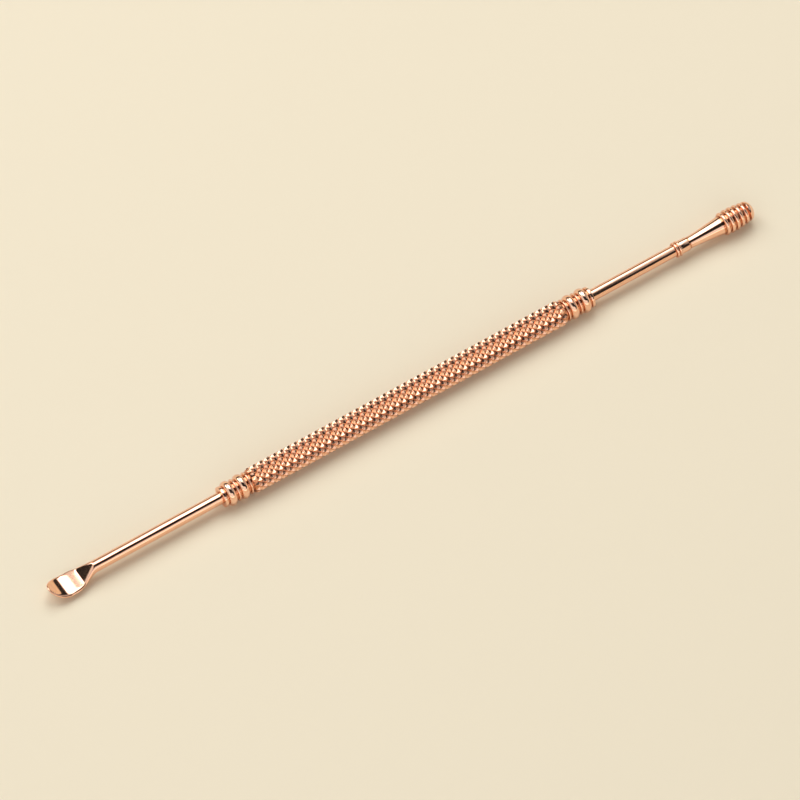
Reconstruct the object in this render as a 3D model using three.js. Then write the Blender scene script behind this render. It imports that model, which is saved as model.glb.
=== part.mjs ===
import * as THREE from "three";

// Double-ended ear pick, in millimetres with +Z up. It lies along X on a table, with the scoop at -X
// and the ribbed head at +X. Z = 0 is the table, and the middle of its length is over the origin.

// Wire and press fits
const shankDiameter = 1.7;
const pressClearance = 0.02; // gap all round every pressed joint
const socketEndGap = 0.4; // room past the end of a spigot or tenon
const leadIn = 0.15; // chamfer on every end that is pressed into a hole

// Knurled grip
const gripLength = 50.6;
const gripWall = 0.34; // metal between the drilled socket and the bottom of the knurl
const knurlDepth = 0.28;
const knurlPitch = 1.1; // length of one diamond along the grip
const knurlStarts = 12; // diamonds round the grip

// Ferrules, the ring-turned bushes at both ends of the grip
const spigotWall = 0.34;
const spigotLength = 5.5;
const endRingWidth = 0.42;
const endRingHeight = 0.3; // ring heights are measured from the spigot's surface
const beadWidth = 1.18;
const beadHeight = 0.59;
const thinRingWidth = 0.36;
const thinRingHeight = 0.44;
const grooveWidth = 0.22;
const grooveHeight = 0.12;

// Scoop
const scoopShankLength = 20;
const scoopLength = 7.2;
const scoopWidth = 3.6;
const scoopThickness = 0.5;
const scoopShoulder = 3.5; // length of the flare from the wire to the full width
const scoopFlattening = 2.4; // length of the ramp over which the wire is pressed thin
const scoopEndLength = 2.5; // length of the rounded end
const scoopDip = 0.4; // how far the pan's underside drops below the wire
const scoopDipPlace = 4.2; // where it is lowest, from the end of the wire
const scoopTipRise = 1.4; // how far the tip rises again
const panSquareness = 5; // exponent of the pan's rounded section, where 2 is round
const scoopSteps = 26;
const tipStep = 0.5; // part of a step that the last section keeps from the very tip
const slopeStep = 0.01;

// Head stem and the neck of the ribbed head
const headShankLength = 13.96;
const tenonShoulder = 0.24; // step from the wire down to its tenon
const tenonLength = 3;
const neckWall = 0.36;
const neckLength = 1.35;
const neckRingWidth = 0.34;
const neckRingGap = 0.14;
const neckRingHeight = 0.14;
const neckGrooveWidth = 0.2;
const neckGrooveDepth = 0.12;

// Ribbed head
const flareLength = 5.3;
const flareBend = 2.6; // where the slopes at the flare's two ends meet, from its start
const flareLift = 0.11; // how far the slope at its start has risen by there
const headDiameter = 3.5; // over the crest of the largest rib
const swellPlace = 1.6; // where the barrel is fattest, from its start
const noseDiameter = 2.9;
const noseLength = 1;
const ribCount = 5;
const ribPitch = 0.82;
const ribGroove = 0.27; // width of the groove in front of each rib and of the nose
const ribDepth = 0.3;

// Sizes that follow from the ones above
const sides = 2 * knurlStarts;
const shankRadius = shankDiameter / 2;
const stemBoreRadius = shankRadius + pressClearance;
const spigotRadius = stemBoreRadius + spigotWall;
const socketRadius = spigotRadius + pressClearance;
const knurlRootRadius = socketRadius + gripWall;
const gripRadius = knurlRootRadius + knurlDepth;
const socketDepth = spigotLength + socketEndGap;
const ferruleLength = endRingWidth + 2 * (beadWidth + thinRingWidth) + 5 * grooveWidth;
const tenonRadius = shankRadius - tenonShoulder;
const tenonSocketRadius = tenonRadius + pressClearance;
const neckRadius = tenonSocketRadius + neckWall;
const neckStart = 2 * neckRingWidth + neckRingGap;
const neckTop = neckStart + neckLength + neckGrooveWidth;
const ribbedLength = ribCount * ribPitch + ribGroove;
const headLength = neckTop + flareLength + ribbedLength + noseLength;

const scoopReach = gripLength / 2 + ferruleLength + scoopShankLength + scoopLength;
const headReach = gripLength / 2 + ferruleLength + headShankLength + headLength;
const flatHeight = gripRadius * Math.cos(Math.PI / sides); // height of the axis over a flat of the grip

// Points on each half of a bead, and on each curve of the head
const beadSteps = 3;
const headSteps = 6;

const roseGold = { color: 0xe6a486, metalness: 1 };
const polished = { ...roseGold, roughness: 0.14 };
const knurled = { ...roseGold, roughness: 0.22 };

// A body of revolution about X, from the points of an outline drawn as (radius, place along X).
function turned(points) {
  const lathe = new THREE.LatheGeometry(points, sides, Math.PI / sides);
  return lathe.rotateZ(-Math.PI / 2);
}

// One ring of a lofted body, round or flattened. The squareness of a round section is 2.
function ring(x, halfWidth, halfHeight, middle = 0, squareness = 2) {
  const bulge = (value) => Math.sign(value) * Math.abs(value) ** (2 / squareness);
  return Array.from({ length: sides }, (_, k) => {
    const angle = ((k + 0.5) * 2 * Math.PI) / sides;
    const y = -halfWidth * bulge(Math.sin(angle));
    const z = middle + halfHeight * bulge(Math.cos(angle));
    return new THREE.Vector3(x, y, z);
  });
}

// Joins rings into a closed body with flat ends. Each four-sided patch is split along its shorter
// diagonal, so on the knurl the split lies at the bottom of a groove.
function lofted(rings) {
  const points = rings.flat();
  const triangles = [];
  const at = (row, k) => row * sides + (k % sides);
  for (let row = 0; row + 1 < rings.length; row += 1) {
    for (let k = 0; k < sides; k += 1) {
      const [a, b] = [at(row, k), at(row, k + 1)];
      const [d, c] = [at(row + 1, k), at(row + 1, k + 1)];
      if (points[b].distanceTo(points[d]) <= points[a].distanceTo(points[c])) {
        triangles.push(a, b, d, b, c, d);
      } else {
        triangles.push(a, b, c, a, c, d);
      }
    }
  }
  const last = rings.length - 1;
  for (let k = 1; k + 1 < sides; k += 1) {
    triangles.push(at(0, 0), at(0, k + 1), at(0, k));
    triangles.push(at(last, 0), at(last, k), at(last, k + 1));
  }
  const body = new THREE.BufferGeometry().setFromPoints(points);
  body.setIndex(triangles);
  body.computeVertexNormals();
  return body;
}

// The grip, from the bottom of one drilled socket to the bottom of the other. Crests and pits take
// turns along each row and along the grip, which leaves two families of crossing V grooves.
function gripBody() {
  const end = gripLength / 2;
  const rows = Math.round((2 * gripLength) / knurlPitch);
  const knurl = [];
  for (let row = 1; row < rows; row += 1) {
    const x = -end + (row * gripLength) / rows;
    const crests = ring(x, gripRadius, gripRadius);
    const pits = ring(x, knurlRootRadius, knurlRootRadius);
    knurl.push(crests.map((crest, k) => ((row + k) % 2 ? crest : pits[k])));
  }
  return lofted([
    ring(socketDepth - end, socketRadius, socketRadius),
    ring(-end, socketRadius, socketRadius),
    ring(-end, knurlRootRadius, knurlRootRadius),
    ...knurl,
    ring(end, knurlRootRadius, knurlRootRadius),
    ring(end, socketRadius, socketRadius),
    ring(end - socketDepth, socketRadius, socketRadius),
  ]);
}

// A ferrule, from its outer shoulder at x = 0 to the end of its spigot.
function ferruleBody() {
  const grooveRadius = spigotRadius + grooveHeight;
  const outline = new THREE.Path();
  let x = 0;
  const groove = () => {
    outline.lineTo(grooveRadius, x);
    x += grooveWidth;
    outline.lineTo(grooveRadius, x);
  };
  const bead = (width, height) => {
    const rise = height - grooveHeight;
    outline.absellipse(grooveRadius, x + width / 2, rise, width / 2, -Math.PI / 2, Math.PI / 2);
    x += width;
  };
  outline.moveTo(stemBoreRadius, x);
  outline.lineTo(spigotRadius + endRingHeight, x);
  x += endRingWidth;
  outline.lineTo(spigotRadius + endRingHeight, x);
  for (let pair = 0; pair < 2; pair += 1) {
    groove();
    bead(beadWidth, beadHeight);
    groove();
    bead(thinRingWidth, thinRingHeight);
  }
  groove();
  outline.lineTo(spigotRadius, x);
  outline.lineTo(spigotRadius, x + spigotLength - leadIn);
  outline.lineTo(spigotRadius - leadIn, x + spigotLength);
  outline.lineTo(stemBoreRadius, x + spigotLength);
  outline.closePath();
  return turned(outline.getPoints(beadSteps));
}

// The scoop, its wire and its tang. x = 0 is where the wire ends and the scoop begins.
function scoopBody() {
  const { lerp, smoothstep } = THREE.MathUtils;
  const underside = (place) => {
    const dipped = smoothstep(place, 0, scoopDipPlace);
    const climb = Math.max((place - scoopDipPlace) / (scoopLength - scoopDipPlace), 0);
    return scoopTipRise * climb ** 2 - scoopDip * dipped - shankRadius;
  };
  const section = (place) => {
    const flare = smoothstep(place, 0, scoopShoulder);
    const pressed = Math.min(place / scoopFlattening, 1);
    const rounding = Math.max((place - scoopLength + scoopEndLength) / scoopEndLength, 0);
    const halfWidth = lerp(shankRadius, scoopWidth / 2, flare) * Math.sqrt(1 - rounding ** 2);
    // Where the pan climbs, its thickness is measured square to the slope.
    const slope = (underside(place + slopeStep) - underside(place - slopeStep)) / (2 * slopeStep);
    const panHalfHeight = (scoopThickness / 2) * Math.hypot(1, slope);
    const halfHeight = lerp(shankRadius, panHalfHeight, pressed);
    const squareness = lerp(2, panSquareness, pressed);
    return ring(-place, halfWidth, halfHeight, underside(place) + halfHeight, squareness);
  };
  const rings = [];
  for (let step = scoopSteps; step >= 1; step -= 1) {
    // The steps crowd together at the throat and at the rounded end, where the last stops just short.
    const angle = (step / (scoopSteps + tipStep)) * Math.PI;
    rings.push(section((scoopLength * (1 - Math.cos(angle))) / 2));
  }
  const tangEnd = scoopShankLength + ferruleLength + socketDepth;
  rings.push(ring(0, shankRadius, shankRadius));
  rings.push(ring(tangEnd - leadIn, shankRadius, shankRadius));
  rings.push(ring(tangEnd, shankRadius - leadIn, shankRadius - leadIn));
  return lofted(rings);
}

// The head's wire, from the end of its tang at x = 0 to the end of its tenon.
function headStemBody() {
  const shoulder = socketDepth + ferruleLength + headShankLength;
  const outline = new THREE.Path();
  outline.moveTo(0, 0);
  outline.lineTo(shankRadius - leadIn, 0);
  outline.lineTo(shankRadius, leadIn);
  outline.lineTo(shankRadius, shoulder);
  outline.lineTo(tenonRadius, shoulder);
  outline.lineTo(tenonRadius, shoulder + tenonLength - leadIn);
  outline.lineTo(tenonRadius - leadIn, shoulder + tenonLength);
  outline.lineTo(0, shoulder + tenonLength);
  return turned(outline.getPoints());
}

// The ribbed head, from the face of its neck at x = 0 to the top of its nose.
function headBody() {
  const headRadius = headDiameter / 2;
  const noseRadius = noseDiameter / 2;
  const baseRadius = neckRadius - neckGrooveDepth;
  const bezierPeak = 0.75; // a curve with level control points rises this share of their height
  const ringRadius = neckRadius + neckRingHeight / bezierPeak;

  // Blind socket for the tenon, then the double ring and the plain neck.
  const outline = new THREE.Path();
  outline.moveTo(0, tenonLength + socketEndGap);
  outline.lineTo(tenonSocketRadius, tenonLength + socketEndGap);
  outline.lineTo(tenonSocketRadius, 0);
  for (const ringStart of [0, neckRingWidth + neckRingGap]) {
    const ringEnd = ringStart + neckRingWidth;
    outline.lineTo(neckRadius, ringStart);
    outline.bezierCurveTo(ringRadius, ringStart, ringRadius, ringEnd, neckRadius, ringEnd);
  }
  outline.lineTo(neckRadius, neckStart + neckLength);
  outline.lineTo(baseRadius, neckStart + neckLength);
  outline.lineTo(baseRadius, neckTop);

  // The crests of the ribs lie on a barrel that swells a little and then narrows towards the nose.
  const barrelStart = neckTop + flareLength;
  const narrowing = (headRadius - noseRadius) / (ribbedLength - swellPlace) ** 2;
  const barrelRadius = (x) => headRadius - narrowing * (x - barrelStart - swellPlace) ** 2;

  // Smooth flare, up to the roots of the ribs.
  const flareEndRadius = barrelRadius(barrelStart) - ribDepth;
  outline.quadraticCurveTo(baseRadius + flareLift, neckTop + flareBend, flareEndRadius, barrelStart);

  // Ring ribs, each with a groove in front of it, and the nose.
  for (let rib = 0; rib < ribCount; rib += 1) {
    const start = barrelStart + rib * ribPitch;
    const foot = start + ribGroove;
    const next = start + ribPitch;
    const crest = barrelRadius((foot + next) / 2) + ribDepth * (1 / bezierPeak - 1);
    outline.lineTo(barrelRadius(foot) - ribDepth, foot);
    outline.bezierCurveTo(crest, foot, crest, next, barrelRadius(next) - ribDepth, next);
  }
  outline.lineTo(noseRadius - ribDepth, headLength - noseLength);
  outline.absellipse(0, headLength - noseLength, noseRadius, noseLength, 0, Math.PI / 2);
  return turned(outline.getPoints(headSteps));
}

function piece(name, body, finish, x) {
  const mesh = new THREE.Mesh(body, new THREE.MeshStandardMaterial(finish));
  mesh.name = name;
  mesh.position.x = x;
  return mesh;
}

// Every piece is placed along the axis from the middle of the grip.
const gripEnd = gripLength / 2;
const earPick = new THREE.Group();
earPick.position.set((scoopReach - headReach) / 2, 0, flatHeight);

const headFerrule = piece("head_ferrule", ferruleBody(), polished, gripEnd + ferruleLength);
headFerrule.rotation.z = Math.PI;

earPick.add(
  piece("scoop_stem", scoopBody(), polished, -scoopReach + scoopLength),
  piece("scoop_ferrule", ferruleBody(), polished, -gripEnd - ferruleLength),
  piece("grip_sleeve", gripBody(), knurled, 0),
  headFerrule,
  piece("head_stem", headStemBody(), polished, gripEnd - socketDepth),
  piece("ribbed_head", headBody(), polished, headReach - headLength),
);

const model = new THREE.Group();
model.add(earPick);
export default model;
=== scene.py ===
"""A rose-gold ear pick: its fine pieces, its plated finishes and a plain studio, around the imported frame.

Each piece is shaped in millimetres along the pick's own axis, which runs along X from the scoop to the
ribbed head, and is then set into the frame in metres.
"""

import logging
import math
from collections.abc import Sequence
from dataclasses import dataclass, field
from enum import Enum
from functools import cache

import bmesh
import bpy
from mathutils import Matrix, Vector
from mathutils.geometry import interpolate_bezier


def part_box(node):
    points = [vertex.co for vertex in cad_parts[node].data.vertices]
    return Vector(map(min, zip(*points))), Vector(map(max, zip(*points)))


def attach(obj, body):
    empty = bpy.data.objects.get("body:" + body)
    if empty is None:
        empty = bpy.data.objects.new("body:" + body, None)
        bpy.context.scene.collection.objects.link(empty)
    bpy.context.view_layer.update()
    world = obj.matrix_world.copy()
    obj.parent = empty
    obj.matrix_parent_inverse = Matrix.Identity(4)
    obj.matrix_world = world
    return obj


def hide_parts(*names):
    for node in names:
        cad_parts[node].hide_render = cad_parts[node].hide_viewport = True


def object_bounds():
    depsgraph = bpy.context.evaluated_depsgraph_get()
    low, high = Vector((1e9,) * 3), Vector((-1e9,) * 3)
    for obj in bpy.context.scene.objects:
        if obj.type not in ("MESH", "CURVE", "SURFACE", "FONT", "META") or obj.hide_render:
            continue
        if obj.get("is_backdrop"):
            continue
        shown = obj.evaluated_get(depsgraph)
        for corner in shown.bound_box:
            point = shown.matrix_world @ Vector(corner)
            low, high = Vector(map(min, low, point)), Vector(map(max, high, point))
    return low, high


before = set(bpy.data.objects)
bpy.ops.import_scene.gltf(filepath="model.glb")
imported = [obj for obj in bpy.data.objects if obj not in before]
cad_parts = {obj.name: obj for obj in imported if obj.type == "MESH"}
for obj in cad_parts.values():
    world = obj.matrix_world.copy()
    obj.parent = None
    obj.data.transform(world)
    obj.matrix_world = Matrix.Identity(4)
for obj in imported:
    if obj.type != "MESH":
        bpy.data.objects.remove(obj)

LOG = logging.getLogger("ear_pick")
MILLIMETRE = 0.001  # in metres
FULL_TURN = 2 * math.pi
WELD = 1e-4  # points closer than this, in millimetres, are one point
ROUNDING_STEPS = 4  # faces across a rounded corner
# The relief decides where painted shade darkens the grooves and where wear pales the crests.
RELIEF = "relief"  # attribute of every piece: 0 at the bottom of a groove and 1 on open metal
FIRST_COLOUR = 6  # numbers of a Mix node's sockets for colours, which share their names with others
SECOND_COLOUR = 7
MIXED_COLOUR = 2

Colour = tuple[float, float, float, float]
Range = tuple[float, float]
Socket = bpy.types.NodeSocket


@cache
def span(node: str) -> Range:
    """Finds where a node of the frame starts and ends along the pick.

    Args:
        node: Name of the node.

    Returns:
        Its lowest and highest X, in millimetres.
    """
    low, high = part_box(node)
    return low.x / MILLIMETRE, high.x / MILLIMETRE


def axis_height() -> float:
    """Returns the height of the pick's axis over the table, in millimetres."""
    low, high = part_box("grip_sleeve")
    return (low.z + high.z) / 2 / MILLIMETRE


def blend(start: float, end: float, part: float) -> float:
    """Returns the value that lies the given part of the way from start to end."""
    return start + (end - start) * part


def share(value: float, start: float, end: float) -> float:
    """Returns 0 before start and 1 after end, with a straight rise between them."""
    return min(max((value - start) / (end - start), 0.0), 1.0)


def ease(value: float, start: float, end: float) -> float:
    """Returns 0 before start and 1 after end, with a smooth rise between them."""
    part = share(value, start, end)
    return part * part * (3 - 2 * part)


def ramp(value: float, length: float, soft: float) -> float:
    """Returns 0 before 0 and 1 after the length, with a straight rise between two rounded corners.

    Args:
        value: Where the rise is read.
        length: How long the rise is, with its corners.
        soft: How long each corner is.

    Returns:
        The part of the rise that is reached.
    """
    straight = length - soft
    climbed = 0.0
    for start, sign in ((0.0, 1), (straight, -1)):
        reach = max(value - start, 0.0)
        climbed += sign * (min(reach, soft) ** 2 / (2 * soft) + max(reach - soft, 0.0))
    return climbed / straight


class Slot(Enum):
    """The record's two finishes."""

    POLISHED = "polished_rose_gold"
    KNURLED = "knurled_rose_gold"


class MarkRun(Enum):
    """Which way the fine marks of a finish run, as a stretch of the pattern along X, Y and Z."""

    ROUND = (1.0, 0.04, 0.04)
    ALONG = (0.03, 1.0, 1.0)
    EVEN = (1.0, 1.0, 1.0)


# Shader nodes and finishes


def add_node(
    tree: bpy.types.NodeTree, kind: str, inputs: dict | None = None, **options: object
) -> bpy.types.Node:
    """Adds a shader node, sets its options, and fills or links its inputs.

    Args:
        tree: The node tree that gets the node.
        kind: Blender's name for the type of node.
        inputs: Values or output sockets, by the name or number of the input that they go to.
        **options: Properties of the node.

    Returns:
        The new node.
    """
    made = tree.nodes.new(kind)
    for name, value in options.items():
        setattr(made, name, value)
    for key, value in (inputs or {}).items():
        if isinstance(value, Socket):
            tree.links.new(value, made.inputs[key])
        else:
            made.inputs[key].default_value = value
    return made


def add_maths(tree: bpy.types.NodeTree, operation: str, *values: float | Socket) -> Socket:
    """Adds a sum, a product or the like.

    Args:
        tree: The node tree that gets the node.
        operation: Blender's name for what is worked out.
        *values: Numbers or output sockets that it is worked out from.

    Returns:
        The socket with the result.
    """
    return add_node(tree, "ShaderNodeMath", dict(enumerate(values)), operation=operation).outputs[0]


def add_rise(tree: bpy.types.NodeTree, value: Socket, bounds: Range, ends: Range = (0.0, 1.0)) -> Socket:
    """Adds a straight rise or fall, level before and after it.

    Args:
        tree: The node tree that gets the node.
        value: The socket that is read.
        bounds: Its values where the rise starts and ends.
        ends: What is put out there.

    Returns:
        The socket with the result.
    """
    inputs = dict(zip(("From Min", "From Max", "To Min", "To Max"), (*bounds, *ends)))
    return add_node(tree, "ShaderNodeMapRange", {"Value": value, **inputs}).outputs["Result"]


def add_noise(tree: bpy.types.NodeTree, vector: Socket, per_millimetre: float, detail: float) -> Socket:
    """Adds a noise texture.

    Args:
        tree: The node tree that gets the node.
        vector: Where the pattern is read, in metres.
        per_millimetre: How many lumps the pattern has in a millimetre.
        detail: How many finer layers it has.

    Returns:
        The socket with the noise value.
    """
    inputs = {"Vector": vector, "Scale": per_millimetre / MILLIMETRE, "Detail": detail}
    return add_node(tree, "ShaderNodeTexNoise", inputs).outputs[0]


def add_mix(tree: bpy.types.NodeTree, part: Socket, first: Socket, second: Socket) -> Socket:
    """Adds a mix of two colours.

    Args:
        tree: The node tree that gets the node.
        part: How much of the second colour shows, from 0 to 1.
        first: The first colour.
        second: The second colour.

    Returns:
        The socket with the mixed colour.
    """
    inputs = {0: part, FIRST_COLOUR: first, SECOND_COLOUR: second}
    return add_node(tree, "ShaderNodeMix", inputs, data_type="RGBA").outputs[MIXED_COLOUR]


@dataclass
class Group:
    """A shader node group with named sockets, built once and placed in many materials."""

    name: str
    inputs: dict[str, str]
    outputs: dict[str, str]
    tree: bpy.types.NodeTree = field(init=False)

    def __post_init__(self) -> None:
        """Makes the tree with its sockets, and has the subclass wire it."""
        self.tree = bpy.data.node_groups.new(self.name, "ShaderNodeTree")
        for name, kind in self.inputs.items():
            self.tree.interface.new_socket(name=name, in_out="INPUT", socket_type=kind)
        for name, kind in self.outputs.items():
            self.tree.interface.new_socket(name=name, in_out="OUTPUT", socket_type=kind)
        entry = self.tree.nodes.new("NodeGroupInput").outputs
        leave = self.tree.nodes.new("NodeGroupOutput").inputs
        self.wire(entry, leave)

    def wire(self, entry: bpy.types.NodeOutputs, leave: bpy.types.NodeInputs) -> None:
        """Joins the group's inputs to its outputs.

        Args:
            entry: The sockets that bring values in.
            leave: The sockets that take values out.
        """
        raise NotImplementedError

    def place(self, tree: bpy.types.NodeTree, inputs: dict) -> bpy.types.Node:
        """Places the group in a material.

        Args:
            tree: The material's node tree.
            inputs: Values or sockets for the group's inputs.

        Returns:
            The group node.
        """
        return add_node(tree, "ShaderNodeGroup", inputs, node_tree=self.tree)


class MarksGroup(Group):
    """Fine polishing marks in one direction, and the soft haze of handling."""

    marks_per_millimetre = 9.0
    marks_detail = 3.0
    marks_range = (0.42, 0.68)  # noise that gives no mark, and noise that gives a full one
    haze_per_millimetre = 0.32
    haze_detail = 4.0
    haze_range = (0.38, 0.7)
    wave_per_millimetre = 0.7
    wave_detail = 1.0

    def __init__(self) -> None:
        """Names the group and its sockets."""
        scalar = "NodeSocketFloat"
        super().__init__(
            "polishing_marks",
            {"Vector": "NodeSocketVector", "Run": "NodeSocketVector"},
            {"Marks": scalar, "Haze": scalar, "Wave": scalar},
        )

    def wire(self, entry: bpy.types.NodeOutputs, leave: bpy.types.NodeInputs) -> None:
        """Stretches noise along the run of the marks, and adds broad noise for haze and waves.

        Args:
            entry: The sockets that bring values in.
            leave: The sockets that take values out.
        """
        tree = self.tree
        stretched = add_node(
            tree, "ShaderNodeVectorMath", {0: entry["Vector"], 1: entry["Run"]}, operation="MULTIPLY"
        ).outputs["Vector"]
        marks = add_noise(tree, stretched, self.marks_per_millimetre, self.marks_detail)
        haze = add_noise(tree, entry["Vector"], self.haze_per_millimetre, self.haze_detail)
        wave = add_noise(tree, stretched, self.wave_per_millimetre, self.wave_detail)
        tree.links.new(add_rise(tree, marks, self.marks_range), leave["Marks"])
        tree.links.new(add_rise(tree, haze, self.haze_range), leave["Haze"])
        tree.links.new(wave, leave["Wave"])


class ShadedWornToneGroup(Group):
    """The tone of the plating: painted shade in the grooves, clean between, and rubbed paler by wear on
    crests.
    """

    groove_shade_range = (0.0, 0.45)  # relief over which the painted groove shade gives way to the clean tone
    groove_shade_shares = (0.85, 0.0)  # how much of the painted groove shade shows at both ends of that range
    crest_range = (0.6, 1.0)  # relief over which the worn tone comes in
    mottle_per_millimetre = 0.5
    mottle_detail = 5.0
    mottle_range = (0.35, 0.65)

    def __init__(self) -> None:
        """Names the group and its sockets."""
        colour = "NodeSocketColor"
        super().__init__(
            "plating_groove_shade_and_wear",
            {
                "Vector": "NodeSocketVector",
                "Relief": "NodeSocketFloat",
                "Wear": "NodeSocketFloat",
                "Clean": colour,
                "Deep": colour,
                "Worn": colour,
            },
            {"Colour": colour},
        )

    def wire(self, entry: bpy.types.NodeOutputs, leave: bpy.types.NodeInputs) -> None:
        """Mixes the clean tone, the painted groove shade and the worn tone by the relief, with the wear
        broken up by a soft mottle.

        Args:
            entry: The sockets that bring values in.
            leave: The sockets that take values out.
        """
        tree = self.tree
        # Painted shade: the bottoms of the grooves take the dark shade colour.
        depth = add_rise(tree, entry["Relief"], self.groove_shade_range, self.groove_shade_shares)
        groove_shaded = add_mix(tree, depth, entry["Clean"], entry["Deep"])
        mottle = add_noise(tree, entry["Vector"], self.mottle_per_millimetre, self.mottle_detail)
        patchy = add_rise(tree, mottle, self.mottle_range)
        crest = add_rise(tree, entry["Relief"], self.crest_range)
        rubbed = add_maths(tree, "MULTIPLY", crest, patchy)
        worn = add_maths(tree, "MULTIPLY", rubbed, entry["Wear"])
        tree.links.new(add_mix(tree, worn, groove_shaded, entry["Worn"]), leave["Colour"])


@dataclass
class Effects:
    """The shader groups that the finishes share."""

    marks: MarksGroup = field(default_factory=MarksGroup)
    tone: ShadedWornToneGroup = field(default_factory=ShadedWornToneGroup)


@dataclass(frozen=True)
class Plating:
    """A rose-gold plating over turned, drawn or knurled metal."""

    name: str
    run: MarkRun
    wear: float = 0.5
    clean: Colour = (0.93, 0.54, 0.37, 1.0)
    # Painted shade for the bottoms of grooves.
    groove_shade_colour: Colour = (0.55, 0.19, 0.08, 1.0)
    worn: Colour = (0.96, 0.69, 0.54, 1.0)
    roughness: float = 0.06
    haze: float = 0.06  # roughness that the haze adds
    mark_roughness: float = 0.05  # roughness that the marks add
    mark_depth: float = 0.0009  # millimetres
    wave_share: float = 2.0  # height of the broad waves, as a multiple of the marks' depth
    bump_strength: float = 1.0

    def material(self, effects: Effects) -> bpy.types.Material:
        """Wires the finish.

        Args:
            effects: The shader groups to place in it.

        Returns:
            The material.
        """
        made = bpy.data.materials.new(self.name)
        made.use_nodes = True
        tree = made.node_tree
        shader = tree.nodes["Principled BSDF"]
        shader.inputs["Metallic"].default_value = 1.0
        place = add_node(tree, "ShaderNodeTexCoord").outputs["Object"]
        relief = add_node(tree, "ShaderNodeAttribute", attribute_name=RELIEF).outputs["Fac"]
        # The base colour is the clean plating, with painted shade in the grooves and wear on the crests.
        tone = effects.tone.place(
            tree,
            {
                "Vector": place,
                "Relief": relief,
                "Wear": self.wear,
                "Clean": self.clean,
                "Deep": self.groove_shade_colour,
                "Worn": self.worn,
            },
        )
        tree.links.new(tone.outputs["Colour"], shader.inputs["Base Color"])
        marks = effects.marks.place(tree, {"Vector": place, "Run": self.run.value}).outputs
        hazed = add_maths(tree, "MULTIPLY_ADD", marks["Haze"], self.haze, self.roughness)
        rough = add_maths(tree, "MULTIPLY_ADD", marks["Marks"], self.mark_roughness, hazed)
        tree.links.new(rough, shader.inputs["Roughness"])
        height = add_maths(tree, "MULTIPLY_ADD", marks["Wave"], self.wave_share, marks["Marks"])
        bump = add_node(
            tree,
            "ShaderNodeBump",
            {"Strength": self.bump_strength, "Distance": self.mark_depth * MILLIMETRE, "Height": height},
        )
        tree.links.new(bump.outputs["Normal"], shader.inputs["Normal"])
        return made


# Turned outlines


@dataclass
class Outline:
    """A turned outline: points along the axis and out from it, with corners that may be rounded."""

    points: list[tuple[float, float]] = field(default_factory=list)
    fillets: list[float] = field(default_factory=list)

    def to(self, x: float, radius: float, fillet: float = 0.0) -> None:
        """Draws a line to a point, whose corner is rounded over the given length."""
        self.points.append((x, radius))
        self.fillets.append(fillet)

    def arch(self, start: float, end: float, foot: float, rise: float, steps: int) -> None:
        """Draws half an ellipse that stands on the outline.

        Args:
            start: Where the arch starts along the axis.
            end: Where it ends.
            foot: Radius at both of its feet.
            rise: How far its crest stands over its feet.
            steps: How many straight pieces it is drawn with.
        """
        for step in range(steps + 1):
            angle = math.pi * step / steps
            along = (1 - math.cos(angle)) / 2
            self.to(blend(start, end, along), foot + rise * math.sin(angle))

    def curve(self, handles: Sequence[Sequence[float]], steps: int) -> None:
        """Draws a Bezier curve.

        Args:
            handles: Its start, its two control points and its end, as places and radii.
            steps: How many straight pieces it is drawn with.
        """
        ends = [Vector(handle).to_3d() for handle in handles]
        for point in interpolate_bezier(*ends, steps + 1):
            self.to(point.x, point.y)

    def turned(self, sides: int, closed: bool = False) -> bmesh.types.BMesh:
        """Rounds the corners and turns the outline about the axis.

        Args:
            sides: How many steps the turn has.
            closed: Whether the outline joins its own start, as round a bore.

        Returns:
            The turned body.
        """
        body = bmesh.new()
        corners = [body.verts.new((x, 0, radius)) for x, radius in self.points]
        for pair in zip(corners, corners[1:]):
            body.edges.new(pair)
        if closed:
            body.edges.new((corners[-1], corners[0]))
        for fillet in sorted({size for size in self.fillets if size > 0}):
            rounded = [corner for corner, size in zip(corners, self.fillets) if size == fillet]
            bmesh.ops.bevel(
                body, geom=rounded, offset=fillet, offset_type="OFFSET", segments=ROUNDING_STEPS,
                profile=0.5, affect="VERTICES", material=-1, clamp_overlap=True,
            )
        bmesh.ops.remove_doubles(body, verts=body.verts, dist=WELD)
        bmesh.ops.spin(
            body, geom=body.verts[:] + body.edges[:], cent=(0, 0, 0), axis=(1, 0, 0), angle=FULL_TURN,
            steps=sides, use_merge=True,
        )
        return body


# Pieces of the pick


@dataclass
class Fit:
    """The wire and the press fits that the pieces share, in millimetres."""

    wire_radius: float = 0.85
    clearance: float = 0.02
    lead_in: float = 0.15
    end_gap: float = 0.4
    spigot_wall: float = 0.34
    spigot_length: float = 5.5
    grip_wall: float = 0.34
    neck_wall: float = 0.36
    tenon_step: float = 0.24
    tenon_length: float = 3.0

    @property
    def bore(self) -> float:
        """Radius of a ferrule's bore."""
        return self.wire_radius + self.clearance

    @property
    def spigot(self) -> float:
        """Radius of a ferrule's spigot."""
        return self.bore + self.spigot_wall

    @property
    def socket(self) -> float:
        """Radius of the grip's sockets."""
        return self.spigot + self.clearance

    @property
    def knurl_root(self) -> float:
        """Radius at the bottom of the knurl."""
        return self.socket + self.grip_wall

    @property
    def tenon(self) -> float:
        """Radius of the head stem's tenon."""
        return self.wire_radius - self.tenon_step

    @property
    def neck(self) -> float:
        """Radius of the head's plain neck."""
        return self.tenon + self.clearance + self.neck_wall


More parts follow.
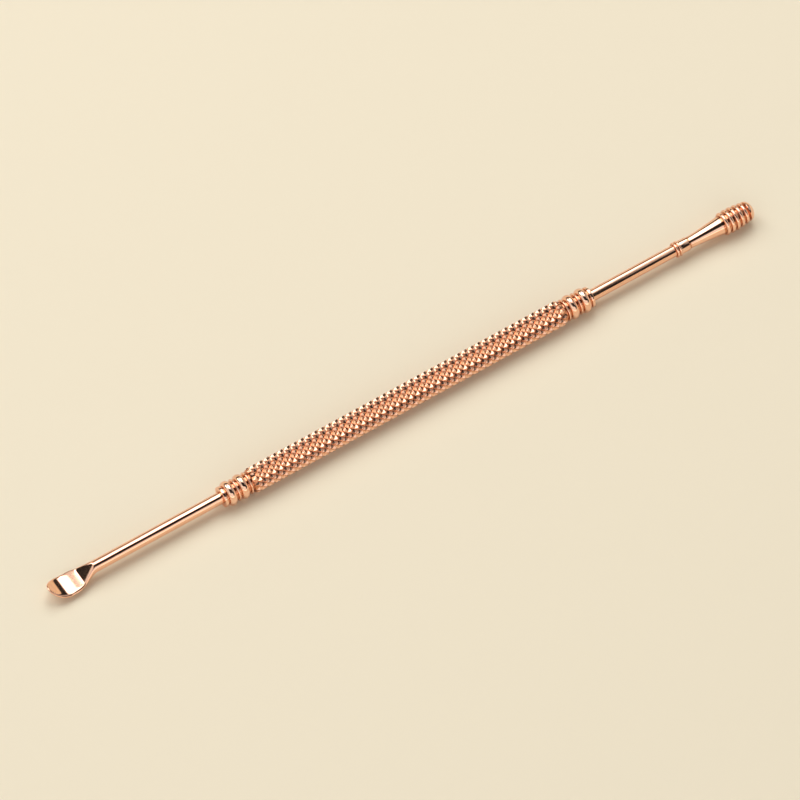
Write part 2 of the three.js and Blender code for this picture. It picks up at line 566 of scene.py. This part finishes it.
@dataclass
class Piece:
    """One piece of the pick, which stands for a node of the frame."""

    name: str
    node: str
    slot: Slot
    fit: Fit = field(default_factory=Fit)
    sharp_angle: float = 42.0  # edges that turn by more than this, in degrees, stay crisp

    def shape(self) -> bmesh.types.BMesh:
        """Models the piece in millimetres, with the pick's axis along X."""
        raise NotImplementedError

    def relief(self, x: float, radius: float) -> float:
        """Tells grooves from open metal, for the painted groove shade and the wear on crests.

        Args:
            x: Place along the pick, in millimetres.
            radius: Distance from its axis, in millimetres.

        Returns:
            0 at the bottom of a groove, 1 on open metal.
        """
        return 1.0

    def build(self) -> bpy.types.Object:
        """Models the piece and sets it into the frame.

        Returns:
            The finished object, riding on the pick in place of its node.
        """
        body = self.shape()
        bmesh.ops.remove_doubles(body, verts=body.verts, dist=WELD)
        bmesh.ops.recalc_face_normals(body, faces=body.faces)
        depth = body.verts.layers.float.new(RELIEF)
        for vert in body.verts:
            vert[depth] = self.relief(vert.co.x, math.hypot(vert.co.y, vert.co.z))
        setting = Matrix.Translation((0, 0, axis_height() * MILLIMETRE)) @ Matrix.Scale(MILLIMETRE, 4)
        bmesh.ops.transform(body, matrix=setting, verts=body.verts)
        for face in body.faces:
            face.smooth = True
        mesh = bpy.data.meshes.new(self.name)
        body.to_mesh(mesh)
        body.free()
        mesh.set_sharp_from_angle(angle=math.radians(self.sharp_angle))
        made = bpy.data.objects.new(self.name, mesh)
        bpy.context.scene.collection.objects.link(made)
        self.finish_mesh(made)
        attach(made, "root")
        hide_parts(self.node)
        return made

    def finish_mesh(self, made: bpy.types.Object) -> None:
        """Adds modifiers to the finished object, where the piece needs any."""

    def plating(self) -> Plating:
        """Returns the finish of the piece."""
        raise NotImplementedError

    def dress(self, made: bpy.types.Object, effects: Effects) -> None:
        """Gives the object its finish.

        Args:
            made: The object that build returned.
            effects: The shader groups that finishes share.
        """
        made.data.materials.append(self.plating().material(effects))


@dataclass
class KnurledGrip(Piece):
    """The grip: a bar with rows of raised diamonds between crossing V grooves, and a socket in each end."""

    pitch: float = 1.1  # length of a diamond
    starts: int = 12  # diamonds round the grip
    depth: float = 0.28
    flank: float = 0.28  # width of a diamond's side, square to the groove
    crown: float = 0.035  # width of the rounding at its top
    crown_rise: float = 0.015
    end_cuts: int = 3  # points that are added to each edge of an end, to make it round
    rounding_levels: int = 1
    groove_crease: float = 1.0  # grooves and the rims of the ends stay sharp when the diamonds are rounded
    ridge_crease: float = 0.9

    def shape(self) -> bmesh.types.BMesh:
        """Cuts a tube into diamonds, raises them, and closes the ends with sockets.

        Returns:
            The grip in millimetres.
        """
        start, end = span(self.node)
        root = self.fit.knurl_root
        body = bmesh.new()
        bmesh.ops.create_cone(
            body, cap_ends=False, segments=self.starts, radius1=root, radius2=root, depth=end - start
        )
        lengthwise = [edge for edge in body.edges if edge.calc_length() > (end - start) / 2]
        rows = round((end - start) / self.pitch)
        bmesh.ops.subdivide_edges(body, edges=lengthwise, cuts=rows - 1, use_grid_fill=True)
        turn = Matrix.Translation(((start + end) / 2, 0, 0)) @ Matrix.Rotation(math.pi / 2, 4, "Y")
        bmesh.ops.transform(body, matrix=turn, verts=body.verts)
        self.cut_diamonds(body)
        self.raise_diamonds(body)
        self.drill_ends(body)
        return body

    def cut_diamonds(self, body: bmesh.types.BMesh) -> None:
        """Turns the tube's square grid into diamonds, with a round rim at both ends.

        Args:
            body: The tube, which is changed.
        """
        squares = body.edges[:]
        bmesh.ops.poke(body, faces=body.faces[:])
        inner = [edge for edge in squares if len(edge.link_faces) == 2]
        bmesh.ops.dissolve_edges(body, edges=inner, use_verts=False, use_face_split=False)
        rims = [edge for edge in body.edges if edge.is_boundary]
        bmesh.ops.subdivide_edges(body, edges=rims, cuts=self.end_cuts)
        for vert in body.verts:
            out = Vector((0, vert.co.y, vert.co.z))
            vert.co += out * (self.fit.knurl_root / out.length - 1)

    def raise_diamonds(self, body: bmesh.types.BMesh) -> None:
        """Raises each diamond to a blunt point.

        Args:
            body: The tube of diamonds, which is changed.
        """
        crease = body.edges.layers.float.new("crease_edge")
        for edge in body.edges:
            edge[crease] = self.groove_crease
        diamonds = [face for face in body.faces if len(face.verts) == 4]
        flank_rise = self.depth - self.crown_rise
        grooves = set(body.edges)
        for width, rise in ((self.flank, flank_rise), (self.crown, self.crown_rise)):
            bmesh.ops.inset_individual(
                body, faces=diamonds, thickness=width, depth=rise, use_even_offset=True
            )
        for edge in body.edges:
            if edge not in grooves:
                edge[crease] = self.ridge_crease

    def drill_ends(self, body: bmesh.types.BMesh) -> None:
        """Closes both ends with a flat face and a blind socket.

        Args:
            body: The knurled tube, which is changed.
        """
        crease = body.edges.layers.float["crease_edge"]
        middle = sum(span(self.node)) / 2
        socket_depth = self.fit.spigot_length + self.fit.end_gap
        narrowing = self.fit.socket / self.fit.knurl_root
        for side in (-1, 1):
            rim = [
                edge for edge in body.edges
                if edge.is_boundary and (edge.verts[0].co.x - middle) * side > 0
            ]
            for scale, shift in ((narrowing, 0.0), (1.0, -side * socket_depth)):
                grown = bmesh.ops.extrude_edge_only(body, edges=rim)["geom"]
                verts = [item for item in grown if isinstance(item, bmesh.types.BMVert)]
                rim = [item for item in grown if isinstance(item, bmesh.types.BMEdge)]
                bmesh.ops.scale(body, verts=verts, vec=(1, scale, scale))
                bmesh.ops.translate(body, verts=verts, vec=(shift, 0, 0))
                rim = [edge for edge in rim if edge.is_boundary]
                for edge in rim:
                    edge[crease] = self.groove_crease
            bmesh.ops.edgeloop_fill(body, edges=rim)

    def finish_mesh(self, made: bpy.types.Object) -> None:
        """Rounds the diamonds a little.

        Args:
            made: The grip, which gets the modifier.
        """
        rounding = made.modifiers.new("rounded_diamonds", "SUBSURF")
        rounding.levels = self.rounding_levels
        rounding.render_levels = self.rounding_levels

    def relief(self, x: float, radius: float) -> float:
        """Returns how far a point stands over the bottom of the knurl, as a part of its depth, which sets
        its painted groove shade.
        """
        return share(radius, self.fit.knurl_root, self.fit.knurl_root + self.depth)

    def plating(self) -> Plating:
        """Returns the bright plating over the knurl."""
        return Plating("knurled_plating", MarkRun.EVEN, wear=0.7, roughness=0.14)


@dataclass
class Ferrule(Piece):
    """A turned bush with an end ring, two broad beads and two thin rings. Its spigot is inside the grip."""

    outward: int = -1  # which way its shoulder faces along X
    end_ring: float = 0.42
    end_ring_height: float = 0.3  # heights are measured from the spigot's surface
    beads: int = 2  # each has a thin ring after it
    bead: float = 1.18
    bead_height: float = 0.59
    thin_ring: float = 0.36
    thin_ring_height: float = 0.44
    groove: float = 0.22
    groove_height: float = 0.12
    edge: float = 0.07  # rounding of the end ring
    bead_steps: int = 16
    ring_steps: int = 10
    sides: int = 96

    def shape(self) -> bmesh.types.BMesh:
        """Turns the ring group and spigot, and sets its shoulder against the wire.

        Returns:
            The ferrule in millimetres.
        """
        fit = self.fit
        foot = fit.spigot + self.groove_height
        outline = Outline()
        outline.to(0.0, fit.bore, self.edge / 2)
        outline.to(0.0, fit.spigot + self.end_ring_height, self.edge)
        outline.to(self.end_ring, fit.spigot + self.end_ring_height, self.edge)
        outline.to(self.end_ring, foot)
        x = self.end_ring + self.groove
        for _ in range(self.beads):
            outline.arch(x, x + self.bead, foot, self.bead_height - self.groove_height, self.bead_steps)
            x += self.bead + self.groove
            outline.arch(
                x, x + self.thin_ring, foot, self.thin_ring_height - self.groove_height, self.ring_steps
            )
            x += self.thin_ring + self.groove
        outline.to(x, foot)
        outline.to(x, fit.spigot)
        outline.to(x + fit.spigot_length - fit.lead_in, fit.spigot)
        outline.to(x + fit.spigot_length, fit.spigot - fit.lead_in)
        outline.to(x + fit.spigot_length, fit.bore)
        body = outline.turned(self.sides, closed=True)
        start, end = span(self.node)
        shoulder = start if self.outward < 0 else end
        bmesh.ops.scale(body, verts=body.verts, vec=(-self.outward, 1, 1))
        bmesh.ops.translate(body, verts=body.verts, vec=(shoulder, 0, 0))
        return body

    def relief(self, x: float, radius: float) -> float:
        """Returns how far a point stands over the grooves, where the end ring counts as open metal and gets
        no painted shade.
        """
        spigot = self.fit.spigot
        return share(radius, spigot + self.groove_height, spigot + self.end_ring_height)

    def plating(self) -> Plating:
        """Returns the polish of a turned ring group."""
        return Plating(self.name + "_polish", MarkRun.ROUND)


@dataclass
class Scoop(Piece):
    """The round wire whose end is pressed flat, flared and bent up into a scoop."""

    length: float = 7.2
    width: float = 3.6
    thickness: float = 0.5
    shoulder: float = 3.5  # length of the flare to the full width
    flattening: float = 2.4  # length of the ramp over which the wire is pressed thin
    crease: float = 0.3  # length of the rounding at both ends of the ramp
    end_length: float = 2.5  # length of the rounded end
    dip: float = 0.4
    dip_place: float = 4.2
    tip_rise: float = 1.4
    wire_fullness: float = 2.0  # power that draws a round section
    rim_fullness: float = 12.0  # power that draws a flat section with round rims
    sides: int = 64
    body_rows: int = 40
    end_rows: int = 22

    def underside(self, place: float) -> float:
        """Finds the scoop's underside, which dips and then climbs to the tip.

        Args:
            place: Distance from the wire's end.

        Returns:
            Its height over the axis.
        """
        climb = max((place - self.dip_place) / (self.length - self.dip_place), 0.0)
        drop = self.dip * ease(place, 0.0, self.dip_place)
        return self.tip_rise * climb**2 - drop - self.fit.wire_radius

    def half_width(self, place: float) -> float:
        """Returns half the scoop's width before its rounded end."""
        return blend(self.fit.wire_radius, self.width / 2, ease(place, 0.0, self.shoulder))

    def skin(self, row: int, across: float, side: float) -> Vector:
        """Finds a point of the scoop's surface.

        Args:
            row: Number of the section, from 0 at the wire's end.
            across: Place across the scoop, from -1 to 1.
            side: 1 on the open face, -1 on the underside.

        Returns:
            The point, with X as the distance from the wire's end.
        """
        flat_length = self.length - self.end_length
        if row <= self.body_rows:
            place = flat_length * row / self.body_rows
            y = across * self.half_width(place)
            rim = abs(across)
        else:
            reach = math.sin((row - self.body_rows) / self.end_rows * math.pi / 2)
            ahead = reach * math.sqrt(1 - across**2 / 2)
            aside = across * math.sqrt(1 - reach**2 / 2)
            place = flat_length + self.end_length * ahead
            y = aside * self.width / 2
            rim = min(math.hypot(ahead, aside), 1.0)
        pressed = ramp(place, self.flattening, self.crease)
        slope = (self.underside(place + WELD) - self.underside(place - WELD)) / (2 * WELD)
        half_height = blend(self.fit.wire_radius, self.thickness / 2 * math.hypot(1, slope), pressed)
        fullness = blend(self.wire_fullness, self.rim_fullness, pressed)
        swell = half_height * math.sqrt(max(1 - rim**fullness, 0.0))
        return Vector((place, y, self.underside(place) + half_height + side * swell))

    def shape(self) -> bmesh.types.BMesh:
        """Shapes a tube into the scoop and draws its open end out into the wire and tang.

        Returns:
            The scoop and its wire in millimetres.
        """
        rows = self.body_rows + self.end_rows
        body = bmesh.new()
        bmesh.ops.create_cone(body, cap_ends=False, segments=self.sides, radius1=1, radius2=1, depth=rows)
        lengthwise = [edge for edge in body.edges if edge.calc_length() > rows / 2]
        bmesh.ops.subdivide_edges(body, edges=lengthwise, cuts=rows - 1, use_grid_fill=True)
        start, end = span(self.node)
        for vert in body.verts:
            point = self.skin(round(vert.co.z + rows / 2), vert.co.y, math.copysign(1, vert.co.x))
            vert.co = (start + self.length - point.x, point.y, point.z)
        bmesh.ops.remove_doubles(body, verts=body.verts, dist=WELD)
        rim = [edge for edge in body.edges if edge.is_boundary]
        tang = end - (start + self.length)
        narrowing = 1 - self.fit.lead_in / self.fit.wire_radius
        for shift, scale in ((tang - self.fit.lead_in, 1.0), (self.fit.lead_in, narrowing)):
            grown = bmesh.ops.extrude_edge_only(body, edges=rim)["geom"]
            verts = [item for item in grown if isinstance(item, bmesh.types.BMVert)]
            bmesh.ops.translate(body, verts=verts, vec=(shift, 0, 0))
            bmesh.ops.scale(body, verts=verts, vec=(1, scale, scale))
            rim = [edge for edge in body.edges if edge.is_boundary]
        bmesh.ops.edgeloop_fill(body, edges=rim)
        return body

    def plating(self) -> Plating:
        """Returns the polish of drawn wire."""
        return Plating("scoop_polish", MarkRun.ALONG, wear=0.0)


@dataclass
class HeadWire(Piece):
    """The plain wire between the ferrule and the ribbed head, with a tang and a turned-down tenon."""

    edge: float = 0.05
    sides: int = 64

    def shape(self) -> bmesh.types.BMesh:
        """Turns the wire with its tang and tenon.

        Returns:
            The wire in millimetres.
        """
        fit = self.fit
        start, end = span(self.node)
        shoulder = end - fit.tenon_length
        outline = Outline()
        outline.to(start, 0.0)
        outline.to(start, fit.wire_radius - fit.lead_in)
        outline.to(start + fit.lead_in, fit.wire_radius)
        outline.to(shoulder, fit.wire_radius, self.edge)
        outline.to(shoulder, fit.tenon)
        outline.to(end - fit.lead_in, fit.tenon)
        outline.to(end, fit.tenon - fit.lead_in)
        outline.to(end, 0.0)
        return outline.turned(self.sides)

    def plating(self) -> Plating:
        """Returns the polish of drawn wire."""
        return Plating("head_wire_polish", MarkRun.ALONG, wear=0.0)


@dataclass
class RibbedTip(Piece):
    """The ribbed head: a double ring, a plain neck, a smooth flare, ring ribs and a domed nose."""

    rings: int = 2
    ring_width: float = 0.34
    ring_gap: float = 0.14
    ring_height: float = 0.14
    neck_length: float = 1.35
    neck_edge: float = 0.06
    groove_width: float = 0.2
    groove_depth: float = 0.12
    flare_bend: float = 2.6  # where the slopes at the flare's two ends meet, from its start
    flare_lift: float = 0.11  # how far the slope at its start has risen by there
    flare_handle: float = 2 / 3  # control points this far towards the bend draw a parabola
    barrel: float = 1.75  # radius over the ribs where it is fattest
    swell_place: float = 1.6  # where the barrel is fattest, from its start
    nose: float = 1.45  # radius where the nose starts
    nose_length: float = 1.0
    ribs: int = 5
    rib_pitch: float = 0.82
    rib_groove: float = 0.27
    rib_depth: float = 0.3
    curve_peak: float = 0.75  # a curve with level control points rises this share of their height
    rib_steps: int = 14
    flare_steps: int = 36
    sides: int = 96

    @property
    def ribbed_length(self) -> float:
        """Length of the ribbed barrel."""
        return self.ribs * self.rib_pitch + self.rib_groove

    @property
    def barrel_start(self) -> float:
        """Where the ribs start along the pick."""
        return span(self.node)[1] - self.nose_length - self.ribbed_length

    @property
    def narrowing(self) -> float:
        """How fast the barrel narrows, from the square of the distance to its fattest place."""
        return (self.barrel - self.nose) / (self.ribbed_length - self.swell_place) ** 2

    def barrel_radius(self, along: float) -> float:
        """Returns the barrel's outer radius, at a distance from its start."""
        return self.barrel - self.narrowing * (along - self.swell_place) ** 2

    @property
    def rings_end(self) -> float:
        """Where the double ring ends along the pick."""
        return span(self.node)[0] + self.rings * (self.ring_width + self.ring_gap) - self.ring_gap

    def relief(self, x: float, radius: float) -> float:
        """Tells the grooves of the rings, the neck and the ribs, which get painted shade, from open metal.

        Args:
            x: Place along the pick, in millimetres.
            radius: Distance from its axis, in millimetres.

        Returns:
            0 at the bottom of a groove, 1 on open metal.
        """
        neck = self.fit.neck
        neck_end = self.rings_end + self.neck_length
        along = x - self.barrel_start
        if x < self.rings_end + WELD:
            return share(radius, neck, neck + self.ring_height)
        if x < neck_end + self.groove_width + WELD:
            return share(radius, neck - self.groove_depth, neck)
        if not -WELD < along < self.ribbed_length + WELD:
            return 1.0
        outer = self.barrel_radius(along)
        return share(radius, outer - self.rib_depth, outer)

    def neck_outline(self, outline: Outline, face: float) -> float:
        """Draws the blind socket, the double ring and the plain neck.

        Args:
            outline: The outline that is drawn on.
            face: Where the neck's face is along the axis.

        Returns:
            Where the flare starts.
        """
        fit = self.fit
        socket = fit.tenon + fit.clearance
        bottom = face + fit.tenon_length + fit.end_gap
        outline.to(bottom, 0.0)
        outline.to(bottom, socket)
        outline.to(face, socket)
        for ring in range(self.rings):
            x = face + ring * (self.ring_width + self.ring_gap)
            outline.arch(x, x + self.ring_width, fit.neck, self.ring_height, self.rib_steps)
        neck_end = self.rings_end + self.neck_length
        # This point keeps the painted shade at the foot of the last ring short.
        outline.to(self.rings_end + self.neck_edge, fit.neck)
        outline.to(neck_end, fit.neck, self.neck_edge)
        outline.to(neck_end, fit.neck - self.groove_depth)
        return neck_end + self.groove_width

    def rib_outline(self, outline: Outline) -> None:
        """Draws the ring ribs, each with a groove in front of it.

        Args:
            outline: The outline that is drawn on.
        """
        start = self.barrel_start
        for rib in range(self.ribs):
            foot = rib * self.rib_pitch + self.rib_groove
            top = (rib + 1) * self.rib_pitch
            feet = [self.barrel_radius(place) - self.rib_depth for place in (foot, top)]
            crest = self.barrel_radius((foot + top) / 2) + self.rib_depth * (1 / self.curve_peak - 1)
            handles = [(start + foot, feet[0]), (start + foot, crest), (start + top, crest)]
            outline.curve([*handles, (start + top, feet[1])], self.rib_steps)
        outline.to(start + self.ribbed_length, self.nose - self.rib_depth)

    def shape(self) -> bmesh.types.BMesh:
        """Turns the head.

        Returns:
            The head in millimetres.
        """
        face, tip = span(self.node)
        outline = Outline()
        base = self.fit.neck - self.groove_depth
        flare_start = Vector((self.neck_outline(outline, face), base))
        flare_end = Vector((self.barrel_start, self.barrel_radius(0.0) - self.rib_depth))
        bend = flare_start + Vector((self.flare_bend, self.flare_lift))
        pulls = [point.lerp(bend, self.flare_handle) for point in (flare_start, flare_end)]
        outline.curve([flare_start, *pulls, flare_end], self.flare_steps)
        self.rib_outline(outline)
        for step in range(self.rib_steps + 1):
            angle = math.pi / 2 * step / self.rib_steps
            outline.to(tip - self.nose_length * (1 - math.sin(angle)), self.nose * math.cos(angle))
        return outline.turned(self.sides)

    def plating(self) -> Plating:
        """Returns the polish of a turned head."""
        return Plating("ribbed_tip_polish", MarkRun.ROUND)


# Studio


def direction(azimuth: float, elevation: float) -> Vector:
    """Turns two angles into a direction away from the pick.

    Args:
        azimuth: Degrees round the pick, where 0 is towards -Y and 90 towards +X.
        elevation: Degrees over the floor.

    Returns:
        The direction, of length 1.
    """
    round_angle = math.radians(azimuth)
    up_angle = math.radians(elevation)
    level = math.cos(up_angle)
    return Vector((math.sin(round_angle) * level, -math.cos(round_angle) * level, math.sin(up_angle)))


@dataclass(frozen=True)
class Viewpoint:
    """Where the camera stands, as in the photograph."""

    azimuth: float = -33.0  # degrees, where 0 looks along +Y
    elevation: float = 57.0
    lens: float = 300.0
    sensor: float = 36.0
    fill: float = 0.88  # share of the picture's width that the pick takes
    near: float = 0.01  # share of the camera's distance at which its view starts

    def place(self) -> None:
        """Sets up the camera."""
        low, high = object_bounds()
        half_length = (high.x - low.x) / 2
        back = direction(self.azimuth, self.elevation)
        turn = (-back).to_track_quat("-Z", "Y")
        right = turn @ Vector((1, 0, 0))
        half_view = self.sensor / 2 / self.lens
        distance = half_length * abs(right.x) / (self.fill * half_view)
        # The nearer end looks longer, so the camera aims a little towards it.
        aim = (low + high) / 2 + Vector((half_length**2 * back.x / distance, 0, 0))
        data = bpy.data.cameras.new("camera")
        data.lens = self.lens
        data.sensor_width = self.sensor
        data.clip_start = distance * self.near
        camera = bpy.data.objects.new("camera", data)
        camera.location = aim + back * distance
        camera.rotation_euler = turn.to_euler()
        bpy.context.scene.collection.objects.link(camera)
        bpy.context.scene.camera = camera


@dataclass(frozen=True)
class Softbox:
    """A soft rectangular lamp that faces the pick. Sizes are in metres."""

    name: str
    azimuth: float
    elevation: float
    distance: float
    width: float
    height: float
    brightness: float  # radiance of its face

    def light(self) -> None:
        """Hangs the lamp."""
        data = bpy.data.lights.new(self.name, "AREA")
        data.shape = "RECTANGLE"
        data.size = self.width
        data.size_y = self.height
        data.energy = self.brightness * math.pi * self.width * self.height
        lamp = bpy.data.objects.new(self.name, data)
        back = direction(self.azimuth, self.elevation)
        lamp.location = back * self.distance
        lamp.rotation_euler = (-back).to_track_quat("-Z", "Y").to_euler()
        lamp.visible_camera = False
        bpy.context.scene.collection.objects.link(lamp)


@dataclass
class Studio:
    """A pale sweep of paper, soft lamps and dim surroundings. Sizes are in metres."""

    radius: float = 1.6
    wall: float = 0.45  # height of the paper's outer edge
    bend: float = 0.35  # length of floor that the bend takes up
    bend_steps: int = 12
    sides: int = 96
    paper: Colour = (0.9, 0.8, 0.61, 1.0)
    roughness: float = 0.7
    gloss: float = 0.2
    lit: float = 0.45  # distance from the pick over which the lamps alone show the paper pale
    lift: float = 0.75  # how brightly the paper's outer edge glows in its own colour
    surroundings: Colour = (0.025, 0.025, 0.026, 1.0)
    softboxes: tuple[Softbox, ...] = (
        Softbox(
            "overhead_softbox", azimuth=168.0, elevation=62.0, distance=0.9,
            width=1.2, height=1.0, brightness=0.86,
        ),
        Softbox(
            "key_softbox", azimuth=145.0, elevation=60.0, distance=0.85,
            width=0.4, height=0.65, brightness=2.8,
        ),
        Softbox(
            "back_softbox", azimuth=-150.0, elevation=48.0, distance=0.9,
            width=0.36, height=0.6, brightness=2.8,
        ),
        Softbox(
            "scoop_end_softbox", azimuth=-88.0, elevation=42.0, distance=0.9,
            width=0.85, height=0.7, brightness=0.85,
        ),
        Softbox(
            "head_end_softbox", azimuth=84.0, elevation=36.0, distance=0.9,
            width=0.7, height=0.76, brightness=0.42,
        ),
        Softbox(
            "front_softbox", azimuth=-20.0, elevation=30.0, distance=0.9,
            width=1.41, height=0.68, brightness=1.0,
        ),
    )

    def sweep(self) -> None:
        """Lays the paper under the pick and bends it up all round."""
        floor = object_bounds()[0].z
        body = bmesh.new()
        spots = [(0, 0, floor), (self.radius, 0, floor), (self.radius, 0, floor + self.wall)]
        corners = [body.verts.new(spot) for spot in spots]
        for pair in zip(corners, corners[1:]):
            body.edges.new(pair)
        bmesh.ops.bevel(
            body, geom=[corners[1]], offset=self.bend, offset_type="OFFSET", segments=self.bend_steps,
            profile=0.5, affect="VERTICES", material=-1,
        )
        bmesh.ops.spin(
            body, geom=body.verts[:] + body.edges[:], cent=(0, 0, 0), axis=(0, 0, 1), angle=FULL_TURN,
            steps=self.sides, use_merge=True,
        )
        bmesh.ops.remove_doubles(body, verts=body.verts, dist=WELD * MILLIMETRE)
        bmesh.ops.recalc_face_normals(body, faces=body.faces)
        for face in body.faces:
            face.smooth = True
        mesh = bpy.data.meshes.new("paper_sweep")
        body.to_mesh(mesh)
        body.free()
        sheet = bpy.data.objects.new("paper_sweep", mesh)
        bpy.context.scene.collection.objects.link(sheet)
        sheet.data.materials.append(self.paper_finish())
        sheet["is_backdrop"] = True

    def paper_finish(self) -> bpy.types.Material:
        """Wires the finish of the paper.

        Returns:
            The material.
        """
        made = bpy.data.materials.new("pale_paper")
        made.use_nodes = True
        shader = made.node_tree.nodes["Principled BSDF"].inputs
        shader["Base Color"].default_value = self.paper
        shader["Roughness"].default_value = self.roughness
        shader["Specular IOR Level"].default_value = self.gloss
        shader["Emission Color"].default_value = self.paper
        made.node_tree.links.new(self.glow(made.node_tree), shader["Emission Strength"])
        made.cycles.emission_sampling = "NONE"  # the glow is there to be seen, not to light the pick
        return made

    def glow(self, tree: bpy.types.NodeTree) -> Socket:
        """Wires a glow that makes the paper look as pale beyond the lamps' reach as near the pick.

        Args:
            tree: The node tree of the paper's material.

        Returns:
            The socket with the strength of the glow.
        """
        place = add_node(tree, "ShaderNodeTexCoord").outputs["Object"]
        distance = add_node(tree, "ShaderNodeVectorMath", {0: place}, operation="LENGTH").outputs["Value"]
        rays = add_node(tree, "ShaderNodeLightPath").outputs
        seen = rays["Is Camera Ray"]
        for ray in ("Is Glossy Ray", "Is Transmission Ray"):
            seen = add_maths(tree, "ADD", seen, rays[ray])
        lift = add_rise(tree, distance, (self.lit, self.radius), (0.0, self.lift))
        return add_maths(tree, "MULTIPLY", seen, lift)

    def light(self) -> None:
        """Hangs the lamps and dims the surroundings."""
        for softbox in self.softboxes:
            softbox.light()
        world = bpy.data.worlds.new("dim_studio")
        world.use_nodes = True
        world.node_tree.nodes["Background"].inputs["Color"].default_value = self.surroundings
        bpy.context.scene.world = world


def main() -> None:
    """Builds and dresses the pick, piece by piece, and sets up the studio."""
    logging.basicConfig(level=logging.INFO, format="%(name)s: %(message)s")
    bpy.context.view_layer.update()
    effects = Effects()
    pieces = (
        Scoop("scoop_and_wire", "scoop_stem", Slot.POLISHED),
        Ferrule("scoop_end_ferrule", "scoop_ferrule", Slot.POLISHED, outward=-1),
        KnurledGrip("knurled_grip", "grip_sleeve", Slot.KNURLED),
        Ferrule("head_end_ferrule", "head_ferrule", Slot.POLISHED, outward=1),
        HeadWire("head_wire", "head_stem", Slot.POLISHED),
        RibbedTip("ribbed_tip", "ribbed_head", Slot.POLISHED),
    )
    for piece in pieces:
        made = piece.build()
        piece.dress(made, effects)
        LOG.info("%s stands for %s with %d faces", piece.name, piece.node, len(made.data.polygons))
    studio = Studio()
    studio.sweep()
    studio.light()
    Viewpoint().place()
    bpy.context.scene.view_settings.view_transform = "Standard"


if __name__ == "__main__":
    main()
